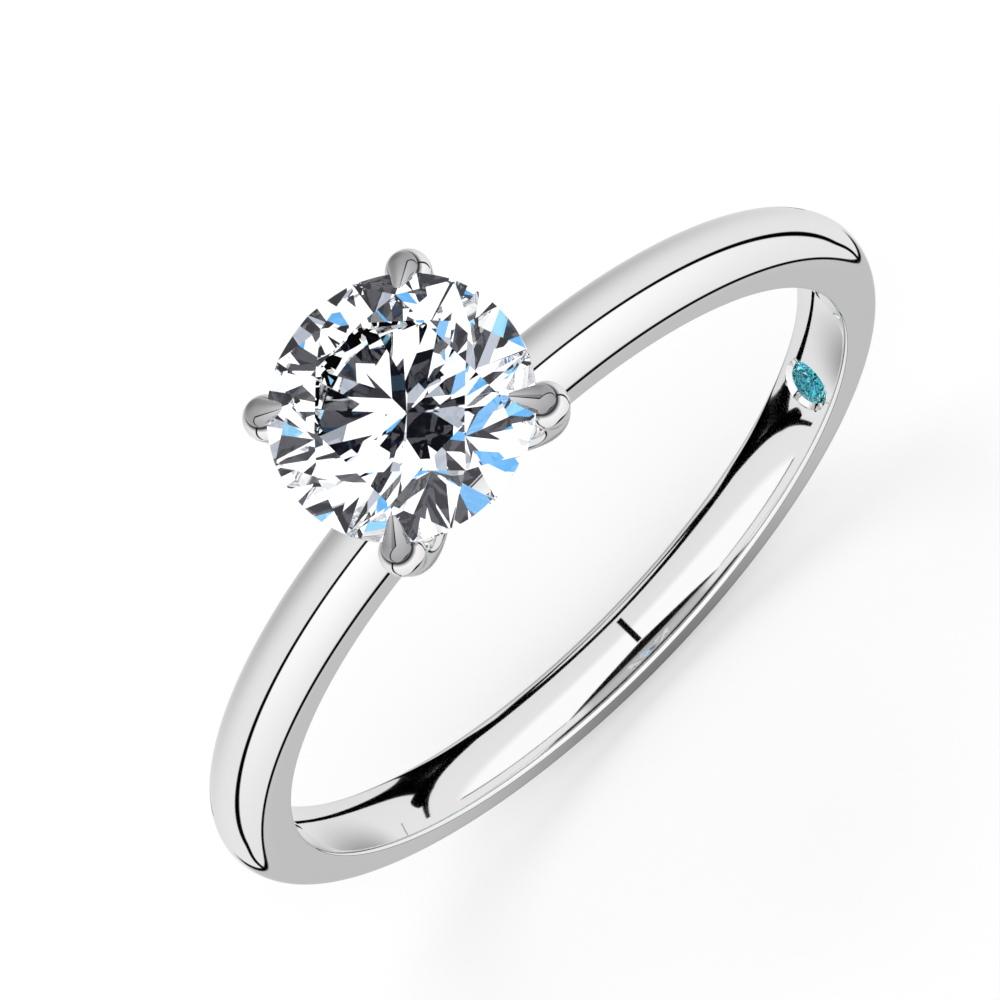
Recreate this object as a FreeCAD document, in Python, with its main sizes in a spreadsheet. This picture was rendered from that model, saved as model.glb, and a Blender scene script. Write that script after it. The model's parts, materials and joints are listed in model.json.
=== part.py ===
import FreeCAD, Part
import Sketcher
import math
import os

# A four-claw solitaire engagement ring, in millimetres and degrees.
# The origin is the centre of the finger bore. +Y is the bore's axis, and +Z points from the
# bore's centre to the stone. The pieces are soldered or set, so nothing moves.

SIZES = {
    # hoop
    "bore_radius": 8.675,
    "band_width": 1.74,
    "band_thickness": 1.52,
    "edge_round": 0.12,
    # centre stone, a round brilliant
    "stone_radius": 2.94,
    "stone_table": 0.60,
    "stone_crown_angle": 34.5,
    "stone_pavilion_angle": 40.8,
    "stone_girdle": 0.18,
    "culet_gap": 0.52,
    # facet lengths, the same on both stones
    "star_length": 0.50,
    "lower_half_length": 0.78,
    # head
    "claw_radius": 0.45,
    "claw_stand_off": 0.13,
    "shoulder_radius": 0.50,
    "shoulder_drop": 0.36,
    "tip_radius": 0.325,
    "tip_rise": 0.10,
    "tip_reach": 0.64,
    "tip_point_radius": 0.03,
    "cup_radius": 1.15,
    "cup_foot_radius": 0.66,
    "cup_height": 0.82,
    "saddle_depth": 0.40,
    "foot_cover": 0.03,
    "culet_clearance": 0.10,
    "peg_radius": 0.50,
    "peg_depth": 0.90,
    "rail_wire_radius": 0.25,
    "rail_height": 1.00,
    "rail_bite": 0.12,
    # hidden stone, set flush in the bore wall
    "gem_radius": 0.60,
    "gem_table": 0.60,
    "gem_crown_angle": 34.5,
    "gem_pavilion_angle": 40.8,
    "gem_girdle": 0.04,
    "gem_angle": 124.0,
    "gem_inset": 0.03,
    "mouth_flare": 0.08,
    "lip_bite": 0.05,
    "lip_height": 0.075,
    "pilot_radius": 0.20,
    # fits
    "stone_clearance": 0.01,
    "solder_gap": 0.02,
}

FACETS = 8
FACET_STEP = 360.0 / FACETS
HALF_STEP = FACET_STEP / 2
OVERRUN = 0.3
CLAWS = {"claw_back_right": 45, "claw_back_left": 135, "claw_front_left": 225, "claw_front_right": 315}

# Derived lengths, as expressions of the sheet's cells.
CREST = "(sizes.bore_radius + sizes.band_thickness)"
DOME_CENTRE = f"({CREST} - sizes.band_width / 2)"
CULET = f"({CREST} + sizes.culet_gap)"
GIRDLE = f"({CULET} + sizes.stone_radius * tan(sizes.stone_pavilion_angle) + sizes.stone_girdle / 2)"
CLAW_TOP = f"({GIRDLE} - sizes.shoulder_drop)"
CLAW_REACH = "(sizes.stone_radius + sizes.claw_stand_off)"
CUP_TOP = f"({CREST} + sizes.cup_height)"
CUP_FOOT = f"({CREST} - sizes.saddle_depth)"
STEM_FOOT = f"({CUP_TOP} - sizes.claw_radius - sizes.foot_cover)"
STEM_FOOT_REACH = "sizes.cup_foot_radius"
STEM_FALL = f"({CLAW_TOP} - {STEM_FOOT})"
STEM_TURN = f"(2 * atan(({CLAW_REACH} - {STEM_FOOT_REACH}) / {STEM_FALL}))"
STEM_BEND = f"({STEM_FALL} / sin({STEM_TURN}))"
RAIL_LEVEL = f"({CREST} + sizes.rail_height)"
RAIL_TURN = f"asin(({CLAW_TOP} - {RAIL_LEVEL}) / {STEM_BEND})"
RAIL_RADIUS = (
    f"({CLAW_REACH} - {STEM_BEND} + ({STEM_BEND} - sizes.claw_radius) * cos({RAIL_TURN})"
    " - sizes.rail_wire_radius + sizes.rail_bite)"
)
TIP_LEVEL = f"({GIRDLE} + sizes.tip_rise)"
CROWN_SLOPE = "tan(sizes.stone_crown_angle)"
TIP_CLIMB = f"(sizes.stone_girdle / 2 + sizes.tip_reach * {CROWN_SLOPE} - sizes.tip_rise)"
TIP_RUN = "(sizes.tip_reach + sizes.claw_stand_off)"
GEM_CROWN = "(sizes.gem_radius * (1 - sizes.gem_table) * tan(sizes.gem_crown_angle))"
GEM_GIRDLE_TOP = f"(sizes.bore_radius + sizes.gem_inset + {GEM_CROWN})"
GEM_GIRDLE_FOOT = f"({GEM_GIRDLE_TOP} + sizes.gem_girdle)"
GEM_DEPTH = "(sizes.gem_radius * tan(sizes.gem_pavilion_angle))"
MOUTH_RADIUS = "(sizes.gem_radius + sizes.mouth_flare)"
LIP_RADIUS = "(sizes.gem_radius - sizes.lip_bite)"
LIP_DEPTH = f"(sizes.gem_inset + {GEM_CROWN} - sizes.lip_height)"


def make_sheet(doc):
    """The driving dimensions, one row each, with the alias in column B."""
    sheet = doc.addObject("Spreadsheet::Sheet", "sizes")
    for row, (name, value) in enumerate(SIZES.items(), start=1):
        sheet.set(f"A{row}", name)
        sheet.set(f"B{row}", str(value))
        sheet.setAlias(f"B{row}", name)
    doc.recompute()
    return sheet


def bind(item, **expressions):
    """Bind properties to expressions; a double underscore stands for a dot in the name."""
    for name, expression in expressions.items():
        item.setExpression(name.replace("__", "."), expression)
    return item


def primitive(doc, kind, name, **expressions):
    """A Part primitive with its sizes and place bound to the sheet."""
    return bind(doc.addObject(f"Part::{kind}", name), **expressions)


def join(doc, name, pieces):
    fused = doc.addObject("Part::MultiFuse", name)
    fused.Shapes = pieces
    return fused


def cut(doc, name, base, tool):
    result = doc.addObject("Part::Cut", name)
    result.Base = base
    result.Tool = tool
    return result


def round_about(axis, angle):
    return FreeCAD.Placement(FreeCAD.Vector(), FreeCAD.Rotation(axis, angle))


X_AXIS = FreeCAD.Vector(1, 0, 0)
Y_AXIS = FreeCAD.Vector(0, 1, 0)
Z_AXIS = FreeCAD.Vector(0, 0, 1)


# ---------------------------------------------------------------- hoop

def draw_section(sketch, sheet):
    """The shank's section: flat inside, soft inner edges, straight flanks and a round dome."""
    half = sheet.band_width / 2
    soft = sheet.edge_round
    inner = sheet.bore_radius
    centre = inner + sheet.band_thickness - half

    def at(across, out):
        return FreeCAD.Vector(across, out, 0)

    def arc(middle, radius, start, end):
        circle = Part.Circle(middle, Z_AXIS, radius)
        return Part.ArcOfCircle(circle, math.radians(start), math.radians(end))

    sketch.addGeometry([
        Part.LineSegment(at(soft - half, inner), at(half - soft, inner)),
        arc(at(half - soft, inner + soft), soft, 270, 360),
        Part.LineSegment(at(half, inner + soft), at(half, centre)),
        arc(at(0, centre), half, 0, 180),
        Part.LineSegment(at(-half, centre), at(-half, inner + soft)),
        arc(at(soft - half, inner + soft), soft, 180, 270),
    ], False)
    wall, right_soft, right_flank, dome, left_flank, left_soft = range(6)
    start, end, middle = 1, 2, 3
    joints = [
        (wall, end, right_soft, start),
        (right_soft, end, right_flank, start),
        (right_flank, end, dome, start),
        (dome, end, left_flank, start),
        (left_flank, end, left_soft, start),
        (left_soft, end, wall, start),
    ]
    for joint in joints:
        sketch.addConstraint(Sketcher.Constraint("Tangent", *joint))
    sketch.addConstraint(Sketcher.Constraint("Horizontal", wall))
    sketch.addConstraint(Sketcher.Constraint("Equal", right_soft, left_soft))
    sketch.addConstraint(Sketcher.Constraint("PointOnObject", dome, middle, -2))
    driven = [
        ("edge", Sketcher.Constraint("Radius", right_soft, soft), "sizes.edge_round"),
        ("dome", Sketcher.Constraint("Radius", dome, half), "sizes.band_width / 2"),
        ("centre", Sketcher.Constraint("DistanceY", -1, 1, dome, middle, centre), DOME_CENTRE),
        ("wall", Sketcher.Constraint("DistanceY", -1, 1, wall, start, inner), "sizes.bore_radius"),
    ]
    for name, constraint, expression in driven:
        index = sketch.addConstraint(constraint)
        sketch.renameConstraint(index, name)
        sketch.setExpression(f"Constraints.{name}", expression)


def make_hoop(doc, sheet):
    """The plain hoop, revolved about the bore's axis."""
    body = doc.addObject("PartDesign::Body", "hoop")
    plane = next(item for item in body.Origin.OriginFeatures if item.Role == "YZ_Plane")
    sketch = body.newObject("Sketcher::SketchObject", "hoop_section")
    sketch.AttachmentSupport = [(plane, "")]
    sketch.MapMode = "FlatFace"
    draw_section(sketch, sheet)
    doc.recompute()
    turned = body.newObject("PartDesign::Revolution", "hoop_revolved")
    turned.Profile = sketch
    turned.ReferenceAxis = (sketch, ["H_Axis"])
    turned.Angle = 360
    body.Tip = turned
    doc.recompute()
    return body


def make_gem_seat(doc):
    """The flush seat in the bore wall: a flared mouth, a lip, a girdle step and a cone.

    It is made along +Z, from the bore outwards, and turned to its place round the hoop.
    """
    gem_hole = "sizes.gem_radius + sizes.stone_clearance"
    flare = f"({MOUTH_RADIUS} - {LIP_RADIUS}) / {LIP_DEPTH}"
    mouth = primitive(
        doc, "Cone", "gem_seat_mouth",
        Radius1=f"{MOUTH_RADIUS} + {OVERRUN} * {flare}",
        Radius2=LIP_RADIUS,
        Height=f"{LIP_DEPTH} + {OVERRUN}",
        Placement__Base__z=f"sizes.bore_radius - {OVERRUN}",
    )
    undercut = primitive(
        doc, "Cone", "gem_seat_undercut",
        Radius1=LIP_RADIUS,
        Radius2=gem_hole,
        Height="sizes.lip_height",
        Placement__Base__z=f"{GEM_GIRDLE_TOP} - sizes.lip_height",
    )
    step = primitive(
        doc, "Cylinder", "gem_seat_step",
        Radius=gem_hole,
        Height="sizes.gem_girdle",
        Placement__Base__z=GEM_GIRDLE_TOP,
    )
    cone = primitive(
        doc, "Cone", "gem_seat_cone",
        Radius1=gem_hole,
        Radius2="sizes.pilot_radius",
        Height=f"{GEM_DEPTH} + sizes.stone_clearance",
        Placement__Base__z=GEM_GIRDLE_FOOT,
    )
    seat = join(doc, "gem_seat", [mouth, undercut, step, cone])
    seat.Placement = round_about(Y_AXIS, 0)
    return bind(seat, Placement__Rotation__Angle="sizes.gem_angle")


def make_shank(doc, hoop):
    """The hoop with its two seats: a peg hole in the crest and the hidden stone's seat."""
    peg_hole = primitive(
        doc, "Cylinder", "peg_hole",
        Radius="sizes.peg_radius + sizes.solder_gap",
        Height=f"sizes.peg_depth + sizes.solder_gap + {OVERRUN}",
        Placement__Base__z=f"{CREST} - sizes.peg_depth - sizes.solder_gap",
    )
    return cut(doc, "shank", hoop, join(doc, "shank_cutters", [peg_hole, make_gem_seat(doc)]))


# ---------------------------------------------------------------- stones

def facet_cut(solid, points):
    """Grind one flat facet: keep the side of the plane that holds the stone's middle."""
    first, second, third = points
    normal = (second - first).cross(third - first).normalize()
    plane = Part.Plane(first, normal).toShape()
    return solid.common(plane.makeHalfSpace(FreeCAD.Vector()))


def brilliant(radius, table, crown_angle, pavilion_angle, girdle, star_length, lower_length):
    """A round brilliant of 57 facets, table up, with the middle of its girdle at the origin.

    The mains stand at odd half-steps, so flats of the table face along X and Y.
    """
    crown = math.tan(math.radians(crown_angle))
    pavilion = math.tan(math.radians(pavilion_angle))
    lean = math.cos(math.radians(HALF_STEP))
    edge = girdle / 2
    table_corner = radius * table
    table_flat = table_corner * lean
    table_level = edge + (radius - table_corner) * crown
    star_reach = table_flat + star_length * (radius - table_flat)
    star_level = edge + (radius - star_reach * lean) * crown
    lower_reach = radius * (1 - lower_length)
    lower_level = -edge - (radius - lower_reach * lean) * pavilion
    culet = -edge - radius * pavilion

    def at(azimuth, reach, level):
        turn = math.radians(azimuth)
        return FreeCAD.Vector(reach * math.cos(turn), reach * math.sin(turn), level)

    stone = Part.makeCylinder(radius, table_level - culet, FreeCAD.Vector(0, 0, culet))
    for number in range(FACETS):
        valley = number * FACET_STEP
        main = valley + HALF_STEP
        tangent = at(main + 90, radius, 0)
        crown_foot = at(main, radius, edge)
        pavilion_foot = at(main, radius, -edge)
        facets = [
            (crown_foot, crown_foot + tangent, at(main, table_corner, table_level)),
            (pavilion_foot, pavilion_foot + tangent, FreeCAD.Vector(0, 0, culet)),
            (
                at(main, table_corner, table_level),
                at(main - FACET_STEP, table_corner, table_level),
                at(valley, star_reach, star_level),
            ),
        ]
        for side in (valley, valley + FACET_STEP):
            facets.append((crown_foot, at(side, radius, edge), at(side, star_reach, star_level)))
            facets.append((pavilion_foot, at(side, radius, -edge), at(side, lower_reach, lower_level)))
        for points in facets:
            stone = facet_cut(stone, points)
    return stone.removeSplitter()


def make_stone(doc, sheet, name, prefix, extra=0.0):
    """A stone, or with extra radius the cutter that leaves clearance all round it."""
    radius = sheet.get(f"{prefix}_radius")
    swell = (radius + extra) / radius
    shape = brilliant(
        radius + extra,
        sheet.get(f"{prefix}_table"),
        sheet.get(f"{prefix}_crown_angle"),
        sheet.get(f"{prefix}_pavilion_angle"),
        sheet.get(f"{prefix}_girdle") * swell,
        sheet.star_length,
        sheet.lower_half_length,
    )
    solid = shape.Solids[0]
    stone = doc.addObject("Part::Feature", name)
    stone.Shape = solid
    return stone


def make_diamond(doc, sheet, name, extra=0.0):
    stone = make_stone(doc, sheet, name, "stone", extra)
    return bind(stone, Placement__Base__z=GIRDLE)


def make_hidden_gem(doc, sheet):
    """The small stone, with its table towards the finger."""
    gem = make_stone(doc, sheet, "hidden_gem", "gem")
    reach = f"({GEM_GIRDLE_TOP} + sizes.gem_girdle / 2)"
    gem.Placement = round_about(Y_AXIS, 0)
    return bind(
        gem,
        Placement__Base__x=f"{reach} * sin(sizes.gem_angle)",
        Placement__Base__z=f"{reach} * cos(sizes.gem_angle)",
        Placement__Rotation__Angle="sizes.gem_angle + 180",
    )


# ---------------------------------------------------------------- head

def make_head_base(doc, hoop):
    """The cup that the claws spring from, saddled on the shank, with its peg."""
    cup = primitive(
        doc, "Cone", "cup_blank",
        Radius1="sizes.cup_foot_radius",
        Radius2="sizes.cup_radius",
        Height="sizes.saddle_depth + sizes.cup_height",
        Placement__Base__z=CUP_FOOT,
    )
    saddled = cut(doc, "cup_saddled", cup, hoop)
    peg = primitive(
        doc, "Cylinder", "peg",
        Radius="sizes.peg_radius",
        Height="sizes.peg_depth + sizes.cup_height / 4",
        Placement__Base__z=f"{CREST} - sizes.peg_depth",
    )
    dimple = primitive(
        doc, "Cone", "culet_dimple",
        Radius1="0",
        Radius2="sizes.cup_height / tan(sizes.stone_pavilion_angle)",
        Height="sizes.cup_height",
        Placement__Base__z=f"{CULET} - sizes.culet_clearance",
    )
    return cut(doc, "head_base", join(doc, "cup_and_peg", [saddled, peg]), dimple)


def make_gallery_rail(doc):
    """A round wire that ties the four claws together under the stone."""
    return primitive(
        doc, "Torus", "gallery_rail",
        Radius1=RAIL_RADIUS,
        Radius2="sizes.rail_wire_radius",
        Placement__Base__z=RAIL_LEVEL,
    )


def make_claw_blank(doc, name, azimuth):
    """One claw before its seat is cut, made along +X and turned to its place.

    The stem bends from the cup up to the girdle. A rounded shoulder ends it, and a
    drop-shaped tip lies over the crown, with its point towards the middle of the stone.
    """
    stem = primitive(
        doc, "Torus", f"{name}_stem",
        Radius1=STEM_BEND,
        Radius2="sizes.claw_radius",
        Angle3=STEM_TURN,
        Placement__Base__x=f"{CLAW_REACH} - {STEM_BEND}",
        Placement__Base__z=CLAW_TOP,
    )
    stem.Placement.Rotation = FreeCAD.Rotation(X_AXIS, -90)
    shoulder = primitive(
        doc, "Sphere", f"{name}_shoulder",
        Radius="sizes.shoulder_radius",
        Placement__Base__x=CLAW_REACH,
        Placement__Base__z=CLAW_TOP,
    )
    ball = primitive(
        doc, "Sphere", f"{name}_ball",
        Radius="sizes.tip_radius",
        Placement__Base__x=CLAW_REACH,
        Placement__Base__z=TIP_LEVEL,
    )
    point = primitive(
        doc, "Cone", f"{name}_point",
        Radius1="sizes.tip_radius",
        Radius2="sizes.tip_point_radius",
        Height=f"sqrt({TIP_RUN} ^ 2 + {TIP_CLIMB} ^ 2)",
        Placement__Base__x=CLAW_REACH,
        Placement__Base__z=TIP_LEVEL,
    )
    point.Placement.Rotation = FreeCAD.Rotation(-Y_AXIS, 90)
    bind(point, Placement__Rotation__Angle=f"atan({TIP_RUN} / {TIP_CLIMB})")
    blank = join(doc, f"{name}_blank", [stem, shoulder, ball, point])
    blank.Placement = round_about(Z_AXIS, azimuth)
    return blank


def make_claws(doc, neighbours):
    """The four claws, each notched for the stone and the rail and fitted to the cup and hoop."""
    cutters = join(doc, "claw_cutters", neighbours)
    claws = []
    for name, azimuth in CLAWS.items():
        claws.append(cut(doc, name, make_claw_blank(doc, name, azimuth), cutters))
    return claws


# ---------------------------------------------------------------- whole ring

def build():
    doc = FreeCAD.newDocument("ring")
    sheet = make_sheet(doc)
    hoop = make_hoop(doc, sheet)
    shank = make_shank(doc, hoop)
    diamond = make_diamond(doc, sheet, "centre_diamond")
    seat_cutter = make_diamond(doc, sheet, "seat_cutter", sheet.stone_clearance)
    base = make_head_base(doc, hoop)
    rail = make_gallery_rail(doc)
    claws = make_claws(doc, [seat_cutter, rail, base, hoop])
    gem = make_hidden_gem(doc, sheet)
    doc.recompute()
    return doc, [shank, base, rail, *claws, diamond, gem]


def check(doc, nodes):
    """Stop before anything is written if an object failed or a solid isn't sound."""
    for item in doc.Objects:
        if "Invalid" in item.State or "Error" in item.State:
            raise RuntimeError(f"{item.Label} failed: {item.State}")
    for node in nodes:
        shape = node.Shape
        if shape.isNull() or not shape.isValid() or len(shape.Solids) != 1:
            raise RuntimeError(f"{node.Label} isn't one valid solid")
        print(f"{node.Label}: {shape.Volume:.3f} mm3")


def export(nodes):
    os.makedirs("parts", exist_ok=True)
    for node in nodes:
        node.Shape.exportStep(f"parts/{node.Label}.step")


document, ring_nodes = build()
check(document, ring_nodes)
export(ring_nodes)
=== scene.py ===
import json
import math

import bmesh
import bpy
import numpy as np
from mathutils import Matrix, Vector


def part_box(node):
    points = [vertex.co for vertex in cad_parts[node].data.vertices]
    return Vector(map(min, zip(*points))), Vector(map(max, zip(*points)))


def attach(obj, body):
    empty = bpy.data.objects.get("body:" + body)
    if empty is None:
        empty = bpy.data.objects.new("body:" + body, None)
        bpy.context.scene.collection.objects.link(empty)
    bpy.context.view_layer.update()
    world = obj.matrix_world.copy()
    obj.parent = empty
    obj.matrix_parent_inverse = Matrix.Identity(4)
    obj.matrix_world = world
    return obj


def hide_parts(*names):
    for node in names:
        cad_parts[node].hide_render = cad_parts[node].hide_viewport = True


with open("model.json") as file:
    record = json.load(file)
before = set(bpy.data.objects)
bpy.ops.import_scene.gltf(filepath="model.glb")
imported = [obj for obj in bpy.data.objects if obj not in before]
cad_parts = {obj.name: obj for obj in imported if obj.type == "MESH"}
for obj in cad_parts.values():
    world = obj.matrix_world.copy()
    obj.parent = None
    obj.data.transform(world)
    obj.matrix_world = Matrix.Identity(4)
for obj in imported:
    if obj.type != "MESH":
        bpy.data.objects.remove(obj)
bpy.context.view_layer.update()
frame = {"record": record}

# A four-claw solitaire ring. Lengths are in millimetres until a mesh is made, in the row's
# frame: +Y is the finger bore's axis, and +Z points to the centre stone.
MM = 0.001


def box_mm(node):
    """The lowest and highest corners of a CAD node, in millimetres."""
    low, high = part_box(node)
    return low / MM, high / MM


# ---------------------------------------------------------------- sizes

SHANK_HIGH = box_mm("shank")[1]
STONE_LOW, STONE_HIGH = box_mm("centre_diamond")
BORE = frame["record"]["mounts"][0]["dims"]["r_mm"]
CREST = SHANK_HIGH.x
HALF_WIDTH = SHANK_HIGH.y
THICKNESS = CREST - BORE
EDGE_ROUND = 0.12
FLANK_HEIGHT = THICKNESS - HALF_WIDTH
WALL_CROWN = 6.0

STONE_RADIUS = STONE_HIGH.x
STONE_TABLE = 0.60
CROWN_ANGLE = 34.5
PAVILION_ANGLE = 40.8
STONE_GIRDLE = 0.18
STAR_LENGTH = 0.50
LOWER_LENGTH = 0.78
GIRDLE_LEVEL = STONE_LOW.z + STONE_RADIUS * math.tan(math.radians(PAVILION_ANGLE)) + STONE_GIRDLE / 2

CLAW_RADIUS = 0.45
CLAW_REACH = STONE_RADIUS + 0.13
CLAW_TOP = GIRDLE_LEVEL - 0.36
SHOULDER_RADIUS = 0.50
TIP_RADIUS = 0.325
TIP_LEVEL = GIRDLE_LEVEL + 0.10
TIP_INSIDE = 0.64
TIP_POINT_RADIUS = 0.03
CLAW_CLEARANCE = 0.01
SHOULDER_FILLET = 0.12
TIP_FILLET = 0.03
NOTCH_ROUND = 0.02
DIMPLE_ROUND = 0.03
CLAWS = {"claw_back_right": 45, "claw_back_left": 135, "claw_front_left": 225, "claw_front_right": 315}

# On the claws' tips: painted shade, as a dark line along the crease round the drop and as grey on the drop
# that deepens along its length.
CREASE_SHADE_WIDTH = 0.075
CREASE_SHADE_CORE = 1.3
DROP_SHADE_EDGE = 0.04
DROP_SHADE_FOOT = TIP_LEVEL - 0.2
DROP_SHADE_RISE = 0.1
DROP_SHADE_LENGTH = TIP_INSIDE + 0.2
DROP_SHADE_FAINTEST = 0.35

CUP_RADIUS = 1.15
CUP_FOOT_RADIUS = 0.66
CUP_TOP = CREST + 0.82
CUP_FOOT = CREST - 0.40
DIMPLE_FOOT = STONE_LOW.z - 0.10
PEG_RADIUS = 0.50
PEG_FOOT = CREST - 0.90
PEG_TOP = CREST + 0.2
PEG_CLEARANCE = 0.02
STEM_FOOT = CUP_TOP - CLAW_RADIUS - 0.03
STEM_FALL = CLAW_TOP - STEM_FOOT
STEM_TURN = 2 * math.atan((CLAW_REACH - CUP_FOOT_RADIUS) / STEM_FALL)
STEM_BEND = STEM_FALL / math.sin(STEM_TURN)
RAIL_WIRE = 0.25
RAIL_LEVEL = CREST + 1.00
RAIL_RADIUS = box_mm("gallery_rail")[1].x - RAIL_WIRE

GEM_ANGLE = 124
GEM_RADIUS = 0.60
GEM_GIRDLE = 0.04
GEM_INSET = 0.03
MOUTH_RADIUS = 0.68
MOUTH_DIP = 0.014
SEAT_ROUND = 0.012
LIP_RADIUS = 0.55
LIP_DEPTH = 0.12
PILOT_RADIUS = 0.20

# How finely the meshes are made.
HOOP_STEPS = 720
WALL_STEPS = 20
SOFT_STEPS = 6
FLANK_STEPS = 5
DOME_STEPS = 72
SEAT_RINGS = 6
NET_STEP = 0.025
NET_PASSES = 4
LEAST_SLOPE = 0.2


# ---------------------------------------------------------------- mesh helpers

def make_object(name, points, faces, smooth=True):
    """A mesh object from points in millimetres, in the row's frame."""
    mesh = bpy.data.meshes.new(name)
    mesh.from_pydata([tuple(p) for p in np.asarray(points, float) * MM], [], faces)
    mesh.validate()
    mesh.polygons.foreach_set("use_smooth", [smooth] * len(mesh.polygons))
    mesh.update()
    obj = bpy.data.objects.new(name, mesh)
    bpy.context.scene.collection.objects.link(obj)
    return obj


def sharpen(obj, degrees):
    """Keep the edges that turn by more than this sharp under smooth shading."""
    work = bmesh.new()
    work.from_mesh(obj.data)
    limit = math.radians(degrees)
    for edge in work.edges:
        if len(edge.link_faces) == 2 and edge.calc_face_angle() > limit:
            edge.smooth = False
    work.to_mesh(obj.data)
    work.free()


def drill(obj, radius, foot, top):
    """Cut a round hole along the Z axis out of a mesh."""
    work = bmesh.new()
    bmesh.ops.create_cone(
        work, cap_ends=True, segments=96, radius1=radius * MM, radius2=radius * MM, depth=(top - foot) * MM)
    bmesh.ops.translate(work, verts=work.verts[:], vec=(0, 0, (top + foot) / 2 * MM))
    mesh = bpy.data.meshes.new("drill")
    work.to_mesh(mesh)
    work.free()
    bit = bpy.data.objects.new("drill", mesh)
    bpy.context.scene.collection.objects.link(bit)
    hole = obj.modifiers.new("hole", "BOOLEAN")
    hole.operation = "DIFFERENCE"
    hole.solver = "EXACT"
    hole.object = bit
    seen = obj.evaluated_get(bpy.context.evaluated_depsgraph_get())
    obj.data = bpy.data.meshes.new_from_object(seen)
    obj.modifiers.clear()
    bpy.data.objects.remove(bit)


def place(obj, node, material):
    """Stand obj in for a CAD node, on the ring's one body."""
    obj.data.materials.append(material)
    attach(obj, "root")
    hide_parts(node)
    return obj


# ---------------------------------------------------------------- distance fields

def smooth_least(a, b, blend):
    """The union of two fields, with a fillet about as wide as blend."""
    mix = np.clip(0.5 + 0.5 * (b - a) / blend, 0, 1)
    return b + (a - b) * mix - blend * mix * (1 - mix)


def smooth_most(a, b, blend):
    """What two fields share, with an edge rounded about as wide as blend."""
    return -smooth_least(-a, -b, blend)


def ball_field(p, centre, radius):
    """A ball."""
    return np.linalg.norm(p - np.array(centre), axis=-1) - radius


def drop_field(p, start, end, start_radius, end_radius):
    """A cone with round ends of two sizes."""
    start = np.array(start)
    axis = np.array(end) - start
    length = np.linalg.norm(axis)
    axis = axis / length
    offset = p - start
    along = offset @ axis
    across = np.linalg.norm(offset - along[..., None] * axis, axis=-1)
    lean = (start_radius - end_radius) / length
    square = math.sqrt(1 - lean * lean)
    shifted = along - across * lean / square
    near = np.linalg.norm(offset, axis=-1) - start_radius
    far = np.linalg.norm(p - np.array(end), axis=-1) - end_radius
    side = across * square + along * lean - start_radius
    return np.where(shifted < 0, near, np.where(shifted > length, far, side))


def ring_field(p, radius, wire, level):
    """A round wire bent into a level ring about the Z axis."""
    around = np.hypot(p[..., 0], p[..., 1]) - radius
    return np.hypot(around, p[..., 2] - level) - wire


def cone_field(p, foot, top, foot_radius, top_radius):
    """A truncated cone about the Z axis."""
    slope = (top_radius - foot_radius) / (top - foot)
    square = math.sqrt(1 + slope * slope)
    reach = np.hypot(p[..., 0], p[..., 1])
    side = (reach - foot_radius - slope * (p[..., 2] - foot)) / square
    return np.maximum(side, np.maximum(foot - p[..., 2], p[..., 2] - top))


def planes_field(p, planes, level, radius, clearance=0.0):
    """A cut stone: the inner side of every facet and of the girdle's cylinder."""
    local = p - np.array((0, 0, level))
    field = np.hypot(local[..., 0], local[..., 1]) - radius
    for normal, offset in planes:
        field = np.maximum(field, local @ normal - offset)
    return field - clearance


def dome_height(across):
    """How far the round dome stands above the flanks at a distance from the band's middle."""
    return np.sqrt(np.clip(HALF_WIDTH ** 2 - across ** 2, 0, None))


def hoop_field(p):
    """The outside of the shank, near its crest."""
    reach = np.hypot(p[..., 0], p[..., 2])
    top = reach - (BORE + FLANK_HEIGHT + dome_height(p[..., 1]))
    return np.maximum(top, np.abs(p[..., 1]) - HALF_WIDTH)


def gradient(field, points, reach=0.004):
    """The slope of a field at each point, measured over reach on either side."""
    slopes = []
    for axis in range(3):
        shift = np.zeros(3)
        shift[axis] = reach
        slopes.append((field(points + shift) - field(points - shift)) / (2 * reach))
    return np.stack(slopes, axis=-1)


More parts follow.
